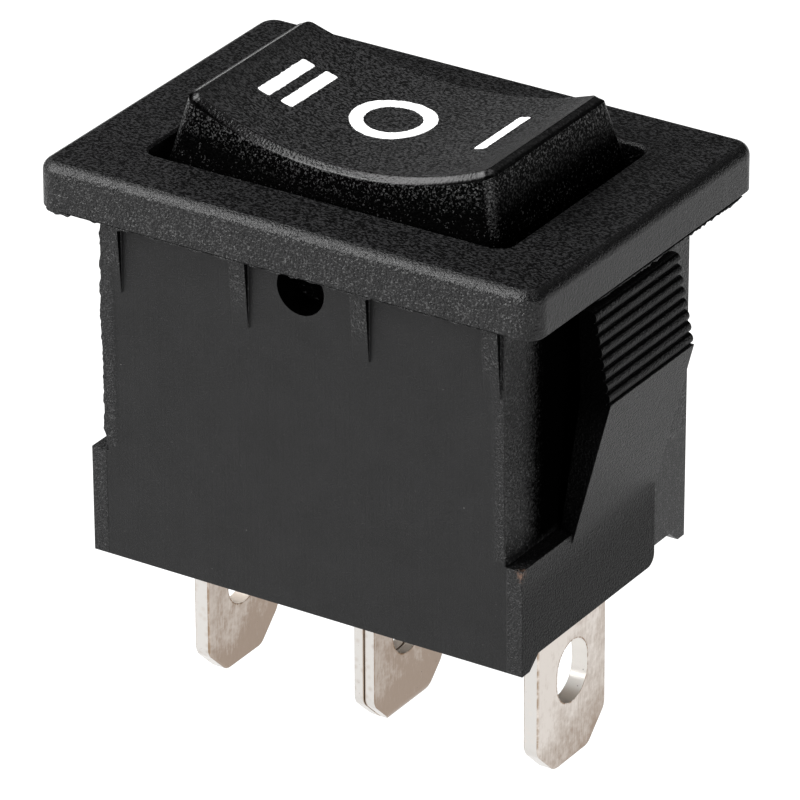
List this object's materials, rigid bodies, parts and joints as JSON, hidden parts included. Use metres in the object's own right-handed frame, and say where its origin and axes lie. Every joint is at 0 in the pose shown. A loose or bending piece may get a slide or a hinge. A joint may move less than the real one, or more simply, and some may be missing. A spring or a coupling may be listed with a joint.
{
  "type": "rocker switch",
  "caption": "Miniature black rocker switch that snaps into a rectangular panel cutout, with a dished three-position button and blade terminals.",
  "frame": {"origin": "centre of the bezel's underside, where it seats on the panel", "axes": "+X along the bezel towards the end marked I, +Y across the bezel, +Z out of the panel on the button's side"},
  "size_m": [0.0214, 0.0152, 0.0249],
  "materials": {
    "black_nylon": "moulded, lightly spark-textured bezel and satin walls",
    "black_nylon_button": "moulded, spark-textured",
    "pale_acetal": "smooth",
    "spring_steel": "drawn wire",
    "contact_silver": "satin",
    "tinned_brass": "tin-plated, satin, brassy where sheared"
  },
  "bodies": {
    "housing": {"housing": "black_nylon", "terminal_left": "tinned_brass", "terminal_right": "tinned_brass", "terminal_centre": "tinned_brass", "fixed_contact_left": "contact_silver", "fixed_contact_right": "contact_silver"},
    "rocker": {"rocker": "black_nylon_button"},
    "plunger": {"plunger": "pale_acetal", "spring": "spring_steel"},
    "lever": {"contact_lever": "tinned_brass", "moving_contact_left": "contact_silver", "moving_contact_right": "contact_silver"}
  },
  "joints": [
    {"name": "rocker_pivot", "type": "hinge", "parent": "housing", "child": "rocker", "pos_m": [0, 0, -0.00108], "axis": [0, 1, 0], "range_deg": [-11, 11]},
    {"name": "plunger_slide", "type": "slide", "parent": "rocker", "child": "plunger", "axis": [0, 0, 1], "range_m": [0, 0.0005], "stiffness_N_per_m": 600, "springref_m": -0.003, "deforming": ["spring"]},
    {"name": "lever_tilt", "type": "hinge", "parent": "housing", "child": "lever", "pos_m": [0, 0, -0.0074], "axis": [0, 1, 0], "range_deg": [-9.4, 9.4]}
  ],
  "couplings": [
    {"joint": "lever_tilt", "follows": "rocker_pivot", "ratio": -0.85}
  ]
}
